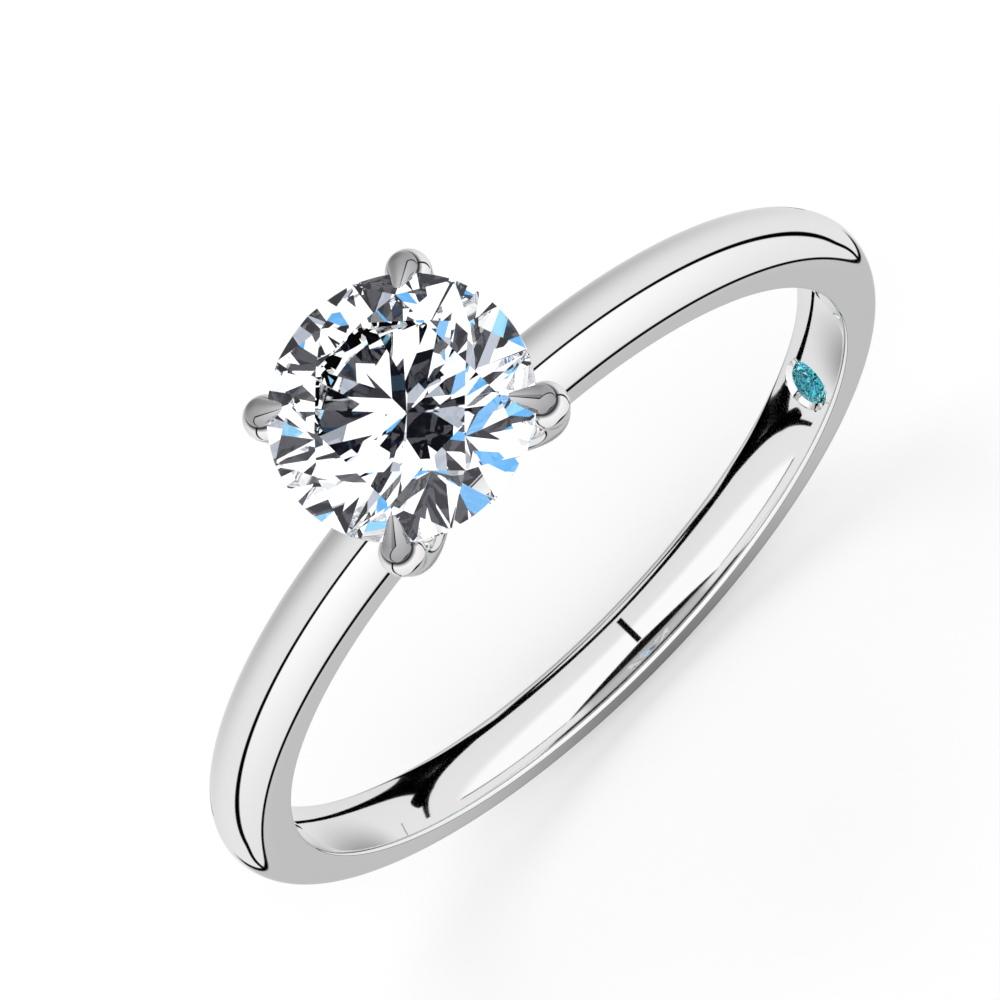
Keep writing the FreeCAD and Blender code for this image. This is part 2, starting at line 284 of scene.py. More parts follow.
def net_object(name, field, low, high):
    """The surface where field is zero, as quads, with normals from the field itself."""
    low = np.array(low, float)
    counts = np.ceil((np.array(high, float) - low) / NET_STEP).astype(int) + 1
    grids = [low[axis] + NET_STEP * np.arange(counts[axis]) for axis in range(3)]
    values = field(np.stack(np.meshgrid(*grids, indexing="ij"), axis=-1))
    inside = values < 0
    total = np.zeros(tuple(counts - 1) + (3,))
    hits = np.zeros(tuple(counts - 1))
    sides = [slice(0, -1), slice(1, None)]
    for axis in range(3):
        others = [other for other in range(3) if other != axis]
        for first in (0, 1):
            for second in (0, 1):
                pick = [None, None, None]
                pick[others[0]] = sides[first]
                pick[others[1]] = sides[second]
                pick[axis] = sides[0]
                start = values[tuple(pick)]
                pick[axis] = sides[1]
                end = values[tuple(pick)]
                crossed = (start < 0) != (end < 0)
                share = np.where(crossed, start / np.where(crossed, start - end, 1), 0)
                spot = np.zeros(start.shape + (3,))
                spot[..., others[0]] = first
                spot[..., others[1]] = second
                spot[..., axis] = share
                total += spot * crossed[..., None]
                hits += crossed
    used = hits > 0
    index = np.full(hits.shape, -1)
    index[used] = np.arange(used.sum())
    cells = np.stack(np.nonzero(used), axis=-1)
    points = low + NET_STEP * (cells + total[used] / hits[used][:, None])
    quads = []
    for axis in range(3):
        u, v = (axis + 1) % 3, (axis + 2) % 3
        pick_low = [slice(None)] * 3
        pick_high = [slice(None)] * 3
        pick_low[axis] = sides[0]
        pick_high[axis] = sides[1]
        changed = inside[tuple(pick_low)] != inside[tuple(pick_high)]
        spots = np.stack(np.nonzero(changed), axis=-1)
        spots = spots[(spots[:, u] > 0) & (spots[:, v] > 0)]
        spots = spots[(spots[:, u] < counts[u] - 1) & (spots[:, v] < counts[v] - 1)]
        corners = []
        for du, dv in ((1, 1), (0, 1), (0, 0), (1, 0)):
            cell = spots.copy()
            cell[:, u] -= du
            cell[:, v] -= dv
            corners.append(index[tuple(cell.T)])
        quad = np.stack(corners, axis=-1)
        outward = inside[tuple(spots.T)]
        quads.append(np.where(outward[:, None], quad, quad[:, ::-1]))
    faces = np.concatenate(quads)
    for _ in range(NET_PASSES):
        slope = gradient(field, points)
        size = np.maximum((slope ** 2).sum(-1), LEAST_SLOPE)
        move = -(field(points) / size)[:, None] * slope
        points = points + np.clip(move, -NET_STEP / 2, NET_STEP / 2)
    obj = make_object(name, points, faces.tolist())
    slope = gradient(field, points)
    slope /= np.maximum(np.linalg.norm(slope, axis=-1), 1e-9)[:, None]
    if len(obj.data.vertices) == len(slope):
        obj.data.normals_split_custom_set_from_vertices([tuple(n) for n in slope])
    return obj


# ---------------------------------------------------------------- stones

def facet_planes(radius, table, crown_angle, pavilion_angle, girdle, star_length, lower_length):
    """Every facet of a round brilliant as (normal, offset), about the middle of its girdle."""
    step = math.radians(45)
    lean = math.cos(step / 2)
    crown = math.tan(math.radians(crown_angle))
    pavilion = math.tan(math.radians(pavilion_angle))
    edge = girdle / 2
    table_corner = radius * table
    table_level = edge + (radius - table_corner) * crown
    table_flat = table_corner * lean
    star_reach = table_flat + star_length * (radius - table_flat)
    star_level = edge + (radius - star_reach * lean) * crown
    lower_reach = radius * (1 - lower_length)
    lower_level = -edge - (radius - lower_reach * lean) * pavilion
    culet = -edge - radius * pavilion

    def at(turn, reach, level):
        return np.array((reach * math.cos(turn), reach * math.sin(turn), level))

    planes = [(np.array((0.0, 0.0, 1.0)), table_level)]
    for number in range(8):
        valley = number * step
        main = valley + step / 2
        along = at(main + math.pi / 2, radius, 0)
        crown_foot = at(main, radius, edge)
        pavilion_foot = at(main, radius, -edge)
        table_point = at(main, table_corner, table_level)
        facets = [
            (crown_foot, crown_foot + along, table_point),
            (pavilion_foot, pavilion_foot + along, np.array((0, 0, culet))),
            (table_point, at(main - step, table_corner, table_level), at(valley, star_reach, star_level)),
        ]
        for side in (valley, valley + step):
            facets.append((crown_foot, at(side, radius, edge), at(side, star_reach, star_level)))
            facets.append((pavilion_foot, at(side, radius, -edge), at(side, lower_reach, lower_level)))
        for first, second, third in facets:
            normal = np.cross(second - first, third - first)
            normal /= np.linalg.norm(normal)
            if normal @ first < 0:
                normal = -normal
            planes.append((normal, float(normal @ first)))
    return planes, table_level, culet


def brilliant_object(name, radius, planes, table_level, culet, to_row):
    """A stone ground flat facet by facet from a round blank, then put in its place."""
    work = bmesh.new()
    blank = bmesh.ops.create_cone(
        work, cap_ends=True, segments=256, radius1=radius, radius2=radius, depth=table_level - culet)
    bmesh.ops.translate(work, verts=blank["verts"], vec=(0, 0, (table_level + culet) / 2))
    for normal, offset in planes:
        everything = work.verts[:] + work.edges[:] + work.faces[:]
        cut = bmesh.ops.bisect_plane(
            work, geom=everything, dist=1e-5, clear_outer=True,
            plane_co=tuple(normal * offset), plane_no=tuple(normal))
        rim = [e for e in cut["geom_cut"] if isinstance(e, bmesh.types.BMEdge) and e.is_boundary]
        if len(rim) > 2:
            bmesh.ops.contextual_create(work, geom=rim)
    bmesh.ops.recalc_face_normals(work, faces=work.faces[:])
    work.transform(Matrix.Scale(MM, 4) @ to_row)
    mesh = bpy.data.meshes.new(name)
    work.to_mesh(mesh)
    work.free()
    mesh.polygons.foreach_set("use_smooth", [False] * len(mesh.polygons))
    obj = bpy.data.objects.new(name, mesh)
    bpy.context.scene.collection.objects.link(obj)
    return obj


# ---------------------------------------------------------------- shank

def wall_radius(across):
    """The bore wall, with the slight crown of a comfortable fit."""
    return BORE + WALL_CROWN - math.sqrt(WALL_CROWN ** 2 - across ** 2)


def section():
    """The band's outline as (across, radius), anticlockwise from the wall's front corner."""
    wall_half = HALF_WIDTH - EDGE_ROUND
    corner = wall_radius(wall_half)
    points = []
    for number in range(WALL_STEPS + 1):
        across = wall_half * (2 * number / WALL_STEPS - 1)
        points.append((across, wall_radius(across)))
    for number in range(1, SOFT_STEPS + 1):
        turn = math.radians(90) * number / SOFT_STEPS
        points.append((
            wall_half + EDGE_ROUND * math.sin(turn),
            corner + EDGE_ROUND * (1 - math.cos(turn)),
        ))
    flank_low = corner + EDGE_ROUND
    flank_high = BORE + FLANK_HEIGHT
    for number in range(1, FLANK_STEPS + 1):
        points.append((HALF_WIDTH, flank_low + (flank_high - flank_low) * number / FLANK_STEPS))
    for number in range(1, DOME_STEPS):
        turn = math.pi * number / DOME_STEPS
        points.append((HALF_WIDTH * math.cos(turn), flank_high + HALF_WIDTH * math.sin(turn)))
    side = points[WALL_STEPS + 1:][:SOFT_STEPS + FLANK_STEPS]
    return points + [(-across, radius) for across, radius in reversed(side)]


def on_hoop(turn, across, radius):
    """A place on the hoop. Turn 0 is at the centre stone."""
    return (radius * math.sin(turn), across, radius * math.cos(turn))


def seat_profile():
    """The hidden stone's seat as (radius, depth), from its flared mouth down to the pilot hole."""
    crown = GEM_RADIUS * (1 - STONE_TABLE) * math.tan(math.radians(CROWN_ANGLE))
    girdle_top = GEM_INSET + crown
    girdle_foot = girdle_top + GEM_GIRDLE
    hole = GEM_RADIUS + CLAW_CLEARANCE
    depth = girdle_foot + GEM_RADIUS * math.tan(math.radians(PAVILION_ANGLE)) + CLAW_CLEARANCE
    return [
        (MOUTH_RADIUS - SEAT_ROUND, MOUTH_DIP),
        (LIP_RADIUS + SEAT_ROUND, LIP_DEPTH - SEAT_ROUND),
        (LIP_RADIUS, LIP_DEPTH),
        (hole, girdle_top),
        (hole, girdle_foot),
        (PILOT_RADIUS, depth),
    ]


def shank_object():
    """The hoop as a grid of quads, opened round the hidden stone's seat."""
    outline = section()
    count = len(outline)
    step = math.radians(360 / HOOP_STEPS)
    points = []
    for ring in range(HOOP_STEPS):
        points += [on_hoop(ring * step, across, radius) for across, radius in outline]
    middle = round(GEM_ANGLE * HOOP_STEPS / 360)
    half = WALL_STEPS // 2
    opened = range(middle - half, middle + half)
    faces = []
    for ring in range(HOOP_STEPS):
        after = (ring + 1) % HOOP_STEPS
        for spot in range(count):
            if ring in opened and spot < WALL_STEPS:
                continue
            beside = (spot + 1) % count
            faces.append((
                ring * count + spot, ring * count + beside, after * count + beside, after * count + spot))
    rim = [((middle - half) + n, 0) for n in range(WALL_STEPS)]
    rim += [(middle + half, n) for n in range(WALL_STEPS)]
    rim += [((middle + half) - n, WALL_STEPS) for n in range(WALL_STEPS)]
    rim += [(middle - half, WALL_STEPS - n) for n in range(WALL_STEPS)]
    previous = [ring * count + spot for ring, spot in rim]
    flat = [((ring - middle) * step * BORE, outline[spot][0]) for ring, spot in rim]

    def add_ring(spots):
        nonlocal previous
        start = len(points)
        points.extend(spots)
        fresh = list(range(start, start + len(spots)))
        size = len(spots)
        for n in range(size):
            m = (n + 1) % size
            faces.append((previous[n], previous[m], fresh[m], fresh[n]))
        previous = fresh

    turns = [math.atan2(across, along) for along, across in flat]
    for number in range(1, SEAT_RINGS + 1):
        share = number / SEAT_RINGS
        spots = []
        for (along, across), turn in zip(flat, turns):
            s = along + (MOUTH_RADIUS * math.cos(turn) - along) * share
            y = across + (MOUTH_RADIUS * math.sin(turn) - across) * share
            spots.append(on_hoop(middle * step + s / BORE, y, wall_radius(y)))
        add_ring(spots)
    radial = on_hoop(middle * step, 0, 1)
    tangent = on_hoop(middle * step + math.pi / 2, 0, 1)
    for radius, down in seat_profile():
        out = BORE + down
        spots = []
        for turn in turns:
            s = radius * math.cos(turn)
            y = radius * math.sin(turn)
            spots.append((radial[0] * out + tangent[0] * s, y, radial[2] * out + tangent[2] * s))
        add_ring(spots)
    faces.append(tuple(previous))
    obj = make_object("polished_shank", points, faces)
    work = bmesh.new()
    work.from_mesh(obj.data)
    bmesh.ops.recalc_face_normals(work, faces=work.faces[:])
    work.to_mesh(obj.data)
    work.free()
    drill(obj, PEG_RADIUS + PEG_CLEARANCE, PEG_FOOT - PEG_CLEARANCE, PEG_TOP)
    sharpen(obj, degrees=35)
    return obj


# ---------------------------------------------------------------- head

STONE_PLANES, STONE_TABLE_LEVEL, STONE_CULET = facet_planes(
    STONE_RADIUS, STONE_TABLE, CROWN_ANGLE, PAVILION_ANGLE, STONE_GIRDLE, STAR_LENGTH, LOWER_LENGTH)


def cup_field(p):
    """The head's cup, before it is saddled and dimpled."""
    return cone_field(p, CUP_FOOT, CUP_TOP, CUP_FOOT_RADIUS, CUP_RADIUS)


def stem_field(p):
    """The claw's bent wire, along +X."""
    centre_x = CLAW_REACH - STEM_BEND
    turn = np.arctan2(CLAW_TOP - p[..., 2], p[..., 0] - centre_x)
    turn = np.clip(turn, 0, STEM_TURN)
    spine = np.stack([
        centre_x + STEM_BEND * np.cos(turn),
        np.zeros_like(turn),
        CLAW_TOP - STEM_BEND * np.sin(turn),
    ], axis=-1)
    return np.linalg.norm(p - spine, axis=-1) - CLAW_RADIUS


def shoulder_field(p):
    """The stem with its rounded shoulder at the top."""
    shoulder = ball_field(p, (CLAW_REACH, 0, CLAW_TOP), SHOULDER_RADIUS)
    return smooth_least(stem_field(p), shoulder, SHOULDER_FILLET)


def tip_field(p):
    """The drop that lies over the crown, with its point towards the middle of the stone."""
    climb = STONE_GIRDLE / 2 + TIP_INSIDE * math.tan(math.radians(CROWN_ANGLE))
    point = (STONE_RADIUS - TIP_INSIDE, 0, GIRDLE_LEVEL + climb)
    return drop_field(p, (CLAW_REACH, 0, TIP_LEVEL), point, TIP_RADIUS, TIP_POINT_RADIUS)


def claw_field(p):
    """One claw: stem, shoulder and drop-shaped tip, notched for the stone, rail and cup."""
    claw = smooth_least(shoulder_field(p), tip_field(p), TIP_FILLET)
    half_turn = math.radians(45)
    c, s = math.cos(half_turn), math.sin(half_turn)
    turned = np.stack([p[..., 0] * c - p[..., 1] * s, p[..., 0] * s + p[..., 1] * c, p[..., 2]], axis=-1)
    stone = planes_field(turned, STONE_PLANES, GIRDLE_LEVEL, STONE_RADIUS, CLAW_CLEARANCE)
    claw = smooth_most(claw, -stone, NOTCH_ROUND)
    claw = smooth_most(claw, -ring_field(p, RAIL_RADIUS, RAIL_WIRE, RAIL_LEVEL), NOTCH_ROUND)
    return smooth_most(claw, -cup_field(p), NOTCH_ROUND)


def turned_copy(source, name, degrees):
    """A copy of an object with its mesh turned about the Z axis."""
    obj = bpy.data.objects.new(name, source.data.copy())
    bpy.context.scene.collection.objects.link(obj)
    obj.data.transform(Matrix.Rotation(math.radians(degrees), 4, "Z"))
    return obj


def make_claws(metal):
    """Four turned copies of one claw; its mesh also holds the painted shade of its crease and its drop."""
    margin, headroom = 0.6, 0.9
    low = (CUP_FOOT_RADIUS - margin, -margin, STEM_FOOT - margin)
    high = (CLAW_REACH + margin, margin, GIRDLE_LEVEL + headroom)
    master = net_object("claw_master", claw_field, low, high)
    spots = np.array([tuple(v.co) for v in master.data.vertices]) / MM
    over = shoulder_field(spots) - tip_field(spots)
    raised = np.clip((spots[:, 2] - DROP_SHADE_FOOT) / DROP_SHADE_RISE, 0, 1)
    along = np.clip((spots[:, 0] - STONE_RADIUS + TIP_INSIDE) / DROP_SHADE_LENGTH, 0, 1)
    drop_shade = DROP_SHADE_FAINTEST + (1 - DROP_SHADE_FAINTEST) * along
    # Painted shade: a dark line along the crease between shoulder and drop, and grey on the drop that
    # deepens outwards.
    shade_shares = {
        "crease_shade": np.clip(CREASE_SHADE_CORE - np.abs(over) / CREASE_SHADE_WIDTH, 0, 1),
        "tip_shade": np.clip(over / DROP_SHADE_EDGE, 0, 1) * raised * drop_shade,
    }
    for name, share in shade_shares.items():
        layer = master.data.attributes.new(name, "FLOAT", "POINT")
        layer.data.foreach_set("value", share)
    for node, degrees in CLAWS.items():
        claw = turned_copy(master, f"polished_{node}", degrees)
        place(claw, node, metal)
    bpy.data.objects.remove(master)


def base_field(p):
    """The cup saddled on the shank, with its peg and the culet's dimple."""
    saddle = smooth_most(cup_field(p), -hoop_field(p), NOTCH_ROUND)
    peg = cone_field(p, PEG_FOOT, PEG_TOP, PEG_RADIUS, PEG_RADIUS)
    rise = CUP_TOP - DIMPLE_FOOT
    top_radius = rise / math.tan(math.radians(PAVILION_ANGLE))
    dimple = cone_field(p, DIMPLE_FOOT, CUP_TOP + rise, 0.0, 2 * top_radius)
    return smooth_most(np.minimum(saddle, peg), -dimple, DIMPLE_ROUND)


def make_base(metal):
    """The cup and its peg, in one mesh."""
    margin = 0.1
    reach = CUP_RADIUS + margin
    low = (-reach, -reach, PEG_FOOT - margin)
    high = (reach, reach, CUP_TOP + margin)
    base = net_object("polished_head_base", base_field, low, high)
    place(base, "head_base", metal)


def make_rail(metal):
    """The round gallery wire."""
    around, about = 192, 32
    points, faces = [], []
    for ring in range(around):
        turn = 2 * math.pi * ring / around
        for spot in range(about):
            roll = 2 * math.pi * spot / about
            reach = RAIL_RADIUS + RAIL_WIRE * math.cos(roll)
            points.append((
                reach * math.cos(turn), reach * math.sin(turn), RAIL_LEVEL + RAIL_WIRE * math.sin(roll)))
            after, beside = (ring + 1) % around, (spot + 1) % about
            faces.append((
                ring * about + spot, after * about + spot, after * about + beside, ring * about + beside))
    place(make_object("polished_gallery_rail", points, faces), "gallery_rail", metal)


def make_stones(diamond, blue_green):
    """The centre stone, and the hidden one with its table towards the finger."""
    stone = brilliant_object(
        "faceted_diamond", STONE_RADIUS, STONE_PLANES, STONE_TABLE_LEVEL, STONE_CULET,
        Matrix.Translation((0, 0, GIRDLE_LEVEL)))
    place(stone, "centre_diamond", diamond)
    planes, table_level, culet = facet_planes(
        GEM_RADIUS, STONE_TABLE, CROWN_ANGLE, PAVILION_ANGLE, GEM_GIRDLE, STAR_LENGTH, LOWER_LENGTH)
    out = BORE + GEM_INSET + table_level
    turn = Matrix.Rotation(math.radians(GEM_ANGLE), 4, "Y")
    flip = Matrix.Rotation(math.pi, 4, "Y")
    to_row = turn @ Matrix.Translation((0, 0, out)) @ flip
    gem = brilliant_object("faceted_hidden_gem", GEM_RADIUS, planes, table_level, culet, to_row)
    place(gem, "hidden_gem", blue_green)


# ---------------------------------------------------------------- materials

GOLD_WHITE = (0.94, 0.94, 0.945, 1)
# Painted shade: a dark line on the claws' creases, and grey on their drops.
CREASE_PAINTED_SHADE = (0.04, 0.04, 0.045, 1)
DROP_PAINTED_SHADE = (0.42, 0.42, 0.43, 1)
STONE_SHEEN = (0.35, 0.35, 0.38, 1)


def new_material(name):
    """A new node-based material, its tree and its shader."""
    material = bpy.data.materials.new(name)
    material.use_nodes = True
    tree = material.node_tree
    return material, tree, tree.nodes["Principled BSDF"]


def tie_noise(tree, socket, scale, low, high):
    """Vary one value from low to high with a cloudy noise that is fixed to the piece."""
    coordinates = tree.nodes.new("ShaderNodeTexCoord")
    cloud = tree.nodes.new("ShaderNodeTexNoise")
    cloud.inputs["Scale"].default_value = scale
    cloud.inputs["Detail"].default_value = 4
    spread = tree.nodes.new("ShaderNodeMapRange")
    spread.inputs["To Min"].default_value = low
    spread.inputs["To Max"].default_value = high
    tree.links.new(coordinates.outputs["Object"], cloud.inputs["Vector"])
    tree.links.new(cloud.outputs["Fac"], spread.inputs["Value"])
    tree.links.new(spread.outputs["Result"], socket)


def blend_colours(tree, socket, first, second):
    """Mix two colours into a socket, and return the socket that sets the share."""
    mix = tree.nodes.new("ShaderNodeMix")
    mix.data_type = "RGBA"
    mix.inputs["A"].default_value = first
    mix.inputs["B"].default_value = second
    tree.links.new(mix.outputs["Result"], socket)
    return mix.inputs["Factor"]


def polished_metal():
    """Mirror-polished white gold, clouded by the polishing wheel, with painted shade on the claws' creases
    and drops.
    """
    material, tree, shader = new_material("white_gold_polished")
    shader.inputs["Metallic"].default_value = 1.0
    tie_noise(tree, shader.inputs["Roughness"], scale=900, low=0.02, high=0.06)
    # Painted shade: the claws' two attributes darken the base colour along the crease and on the drop.
    crease_shade = blend_colours(tree, shader.inputs["Base Color"], GOLD_WHITE, CREASE_PAINTED_SHADE)
    tip_shade = blend_colours(tree, crease_shade.node.inputs["A"], GOLD_WHITE, DROP_PAINTED_SHADE)
    for name, share in (("crease_shade", crease_shade), ("tip_shade", tip_shade)):
        given = tree.nodes.new("ShaderNodeAttribute")
        given.attribute_name = name
        tree.links.new(given.outputs["Fac"], share)
    return material


def clear_stone(name, index, first, second):
    """A transparent stone with faint clouds in its colour."""
    material, tree, shader = new_material(name)
    shader.inputs["Roughness"].default_value = 0.0
    shader.inputs["IOR"].default_value = index
    shader.inputs["Transmission Weight"].default_value = 1.0
    shader.inputs["Specular Tint"].default_value = STONE_SHEEN
    share = blend_colours(tree, shader.inputs["Base Color"], first, second)
    tie_noise(tree, share, scale=600, low=0.0, high=1.0)
    return material


# ---------------------------------------------------------------- studio

class Sums:
    """Short names for the arithmetic nodes of one node tree."""

    def __init__(self, tree):
        self.tree = tree

    def _set(self, node, slot, value):
        """Give an input a number, or link it to another node's output."""
        if isinstance(value, (int, float)):
            node.inputs[slot].default_value = value
        else:
            self.tree.links.new(value, node.inputs[slot])

    def math(self, operation, *values):
        node = self.tree.nodes.new("ShaderNodeMath")
        node.operation = operation
        for slot, value in enumerate(values):
            self._set(node, slot, value)
        return node.outputs[0]

    def add(self, first, second):
        return self.math("ADD", first, second)

    def less(self, first, second):
        return self.math("SUBTRACT", first, second)

    def times(self, first, second):
        return self.math("MULTIPLY", first, second)

    def most(self, first, second):
        return self.math("MAXIMUM", first, second)

    def apart(self, first, second):
        return self.math("ABSOLUTE", self.less(first, second))

    def step(self, value, low, high, start=0.0, end=1.0):
        """A smooth change from start to end as value goes from low to high."""
        node = self.tree.nodes.new("ShaderNodeMapRange")
        node.interpolation_type = "SMOOTHSTEP"
        for slot, number in enumerate((value, low, high, start, end)):
            self._set(node, slot, number)
        return node.outputs[0]

    def blend(self, first, second, share):
        """The first value where share is 0, and the second where it is 1."""
        node = self.tree.nodes.new("ShaderNodeMix")
        for slot, value in enumerate((share, first, second)):
            self._set(node, (0, 2, 3)[slot], value)
        return node.outputs[0]


VIEW_ELEVATION = 70.07
VIEW_AZIMUTH = -0.12
VIEW_ROLL = 45.6
VIEW_DISTANCE = 132.65
VIEW_AIM = (0.065, 1.686)
SENSOR = 36.0
LENS = 204.85


def view_axes():
    """Unit vectors from the ring to the camera, and to its right and up before it is rolled."""
    elevation, azimuth = math.radians(VIEW_ELEVATION), math.radians(VIEW_AZIMUTH)
    back = Vector((
        math.sin(azimuth) * math.cos(elevation),
        -math.cos(azimuth) * math.cos(elevation),
        math.sin(elevation),
    ))
    right = Vector((0, 0, 1)).cross(back).normalized()
    return back, right, back.cross(right)


# The tent that polished gold mirrors. Directions are the row's, of length 1: y is -1 at the front and
# 1 at the rear, and z is 1 straight up. Four numbers are a smooth step: low, high, start and end.
FRONT_TONE = 0.955
FRONT_CLIMB = 0.155
REAR_TONE = 0.83
REAR_FALL = 0.42
REAR_DIP = 0.25
REAR_WALL = (-0.16, -0.14, 0.0, 1.0)
FLOOR_SIDE = (-1.0, -0.76, 0.54, 0.60)
SEAM_PLACE = (-0.92, -0.80, -0.06, -0.155)
SEAM_PINCH = (-0.92, -0.55, 0.5, 1.0)
SEAM_EDGE = (0.042, 0.078, 1.0, 0.0)
HEM_LEVEL = -0.92
HEM_RISE = 0.40
HEM_SOFT = 0.005
HEM_END = (0.18, 0.28, 1.0, 0.0)
HEM_EDGE = (0.7, 1.4, 1.0, 0.0)
HEM_WIDTH = 0.006
HEM_SPREAD = 0.13
HEM_REAR_SPREAD = 0.03
ZENITH_TONE = 0.50
ZENITH_HEIGHT = (0.86, 0.92, 0.0, 1.0)
ZENITH_FRONT = (-0.10, -0.06, 0.0, 1.0)
ZENITH_REAR = (0.16, 0.24, 1.0, 0.0)


def tent_walls(sums, y, z):
    """The tent's front and rear walls, and a greyer patch straight overhead."""
    front = sums.add(FRONT_TONE, sums.times(z, FRONT_CLIMB))
    rear = sums.most(y, 0.0)
    fall = sums.times(sums.math("POWER", rear, 3.0), REAR_FALL)
    below = sums.math("MINIMUM", z, 0.0)
    dip = sums.times(sums.times(sums.times(rear, rear), below), REAR_DIP)
    back = sums.less(REAR_TONE, sums.less(fall, dip))
    walls = sums.blend(front, back, sums.step(y, *REAR_WALL))
    across = sums.times(sums.step(y, *ZENITH_FRONT), sums.step(y, *ZENITH_REAR))
    return sums.blend(walls, ZENITH_TONE, sums.times(sums.step(z, *ZENITH_HEIGHT), across))


def tent_seam(sums, y, z):
    """How dark the seam between the two walls is. It narrows as it comes down."""
    aside = sums.apart(y, sums.step(z, *SEAM_PLACE))
    return sums.step(sums.math("DIVIDE", aside, sums.step(z, *SEAM_PINCH)), *SEAM_EDGE)


def tent_hem(sums, y, square, level):
    """How dark the hem round the floor side is. It widens away from the middle."""
    width = sums.add(HEM_WIDTH, sums.times(sums.times(square, square), HEM_SPREAD))
    width = sums.add(width, sums.times(sums.most(y, 0.0), HEM_REAR_SPREAD))
    return sums.step(sums.math("DIVIDE", sums.apart(level, HEM_LEVEL), width), *HEM_EDGE)


def metal_tent(sums, y, z):
    """What polished gold mirrors: a white tent with a dark seam, over a grey floor side with a hem."""
    square = sums.times(y, y)
    level = sums.less(z, sums.times(square, HEM_RISE))
    ahead = sums.step(y, *HEM_END)
    higher = sums.step(level, HEM_LEVEL - HEM_SOFT, HEM_LEVEL + HEM_SOFT)
    above = sums.most(higher, sums.less(1.0, ahead))
    tent = sums.blend(sums.step(z, *FLOOR_SIDE), tent_walls(sums, y, z), above)
    seam = sums.times(tent_seam(sums, y, z), above)
    hem = sums.times(tent_hem(sums, y, square, level), ahead)
    return sums.times(tent, sums.less(1.0, sums.most(seam, hem)))


# The patches that the stones bend into view, as (share of the patches passed, colour).
STONE_PATCHES = 3.2
STONE_SEED = (3.1, 7.7, 1.3)
PATCH_BLACK = (0.004, 0.004, 0.008, 1)
BLACK_SHARE = 0.32
PATCH_PALE = (1.1, 1.14, 1.22, 1)
PATCH_WHITE = (1.3, 1.32, 1.36, 1)
PATCH_COLOURS = [
    (0.38, (0.50, 0.54, 0.62, 1)),
    (0.47, PATCH_WHITE),
    (0.64, (0.12, 0.50, 1.0, 1)),
    (0.70, PATCH_WHITE),
    (0.86, (0.30, 0.75, 1.1, 1)),
    (0.90, PATCH_WHITE),
    (0.97, (0.05, 0.14, 0.50, 1)),
]


def stone_tent(sums, way):
    """What the stones bend into view: white, with black and blue patches all round."""
    tree = sums.tree
    cells = tree.nodes.new("ShaderNodeTexVoronoi")
    cells.inputs["Scale"].default_value = STONE_PATCHES
    shift = tree.nodes.new("ShaderNodeVectorMath")
    shift.operation = "ADD"
    shift.inputs[1].default_value = STONE_SEED
    tree.links.new(way, shift.inputs[0])
    tree.links.new(shift.outputs[0], cells.inputs["Vector"])
    pick = tree.nodes.new("ShaderNodeSeparateColor")
    tree.links.new(cells.outputs["Color"], pick.inputs[0])
    ramp = tree.nodes.new("ShaderNodeValToRGB")
    ramp.color_ramp.interpolation = "CONSTANT"
    stops = ramp.color_ramp.elements
    stops[0].color = PATCH_BLACK
    stops[1].position = BLACK_SHARE
    stops[1].color = PATCH_PALE
    for position, colour in PATCH_COLOURS:
        stop = stops.new(position)
        stop.color = colour
    tree.links.new(pick.outputs[0], ramp.inputs[0])
    return ramp.outputs[0]


FLOOR_LIGHT = 1.05
BACKDROP = 1.02


def make_world():
    """Each kind of ray sees its own part of the studio, by its direction in the row's frame."""
    world = bpy.data.worlds.new("studio")
    bpy.context.scene.world = world
    world.use_nodes = True
    tree = world.node_tree
    tree.nodes.clear()
    sums = Sums(tree)
    coordinates = tree.nodes.new("ShaderNodeTexCoord")
    split = tree.nodes.new("ShaderNodeSeparateXYZ")
    way = coordinates.outputs["Generated"]
    tree.links.new(way, split.inputs[0])
    ray = tree.nodes.new("ShaderNodeLightPath")
    plain = sums.blend(FLOOR_LIGHT, BACKDROP, ray.outputs["Is Camera Ray"])
    tent = metal_tent(sums, split.outputs[1], split.outputs[2])
    mirrored = sums.blend(plain, tent, ray.outputs["Is Glossy Ray"])
    mix = tree.nodes.new("ShaderNodeMix")
    mix.data_type = "RGBA"
    tree.links.new(ray.outputs["Is Transmission Ray"], mix.inputs["Factor"])
    tree.links.new(mirrored, mix.inputs["A"])
    tree.links.new(stone_tent(sums, way), mix.inputs["B"])
    background = tree.nodes.new("ShaderNodeBackground")
    out = tree.nodes.new("ShaderNodeOutputWorld")
    tree.links.new(mix.outputs["Result"], background.inputs["Color"])
    tree.links.new(background.outputs[0], out.inputs["Surface"])


def rectangle(low, high, level):
    """The four corners of a level rectangle, given two opposite ones as (x, y)."""
    (left, front), (right, rear) = low, high
    return [(left, front, level), (right, front, level), (right, rear, level), (left, rear, level)]


def make_floor():
    """A plain pale floor. Polished gold mirrors the tent, and not the floor."""
    half = 2000
    corners = rectangle((-half, -half), (half, half), -CREST)
    floor = make_object("floor", corners, [(0, 1, 2, 3)], smooth=False)
    material, _, shader = new_material("floor_paper")
    shader.inputs["Base Color"].default_value = (0.93, 0.93, 0.93, 1)
    shader.inputs["Roughness"].default_value = 1.0
    shader.inputs["Specular IOR Level"].default_value = 0.0
    floor.data.materials.append(material)
    floor.visible_glossy = False
    floor.visible_transmission = False


def make_card(name, points, faces, tone):
    """A card that only mirrors see, and that glows with one grey tone."""
    card = make_object(name, points, faces, smooth=False)
    material, _, shader = new_material(name)
    shader.inputs["Base Color"].default_value = (0, 0, 0, 1)
    shader.inputs["Specular IOR Level"].default_value = 0.0
    shader.inputs["Emission Color"].default_value = (1, 1, 1, 1)
    shader.inputs["Emission Strength"].default_value = tone
    card.data.materials.append(material)
    card.visible_camera = False
    card.visible_diffuse = False
    card.visible_transmission = False
    card.visible_shadow = False
    return card


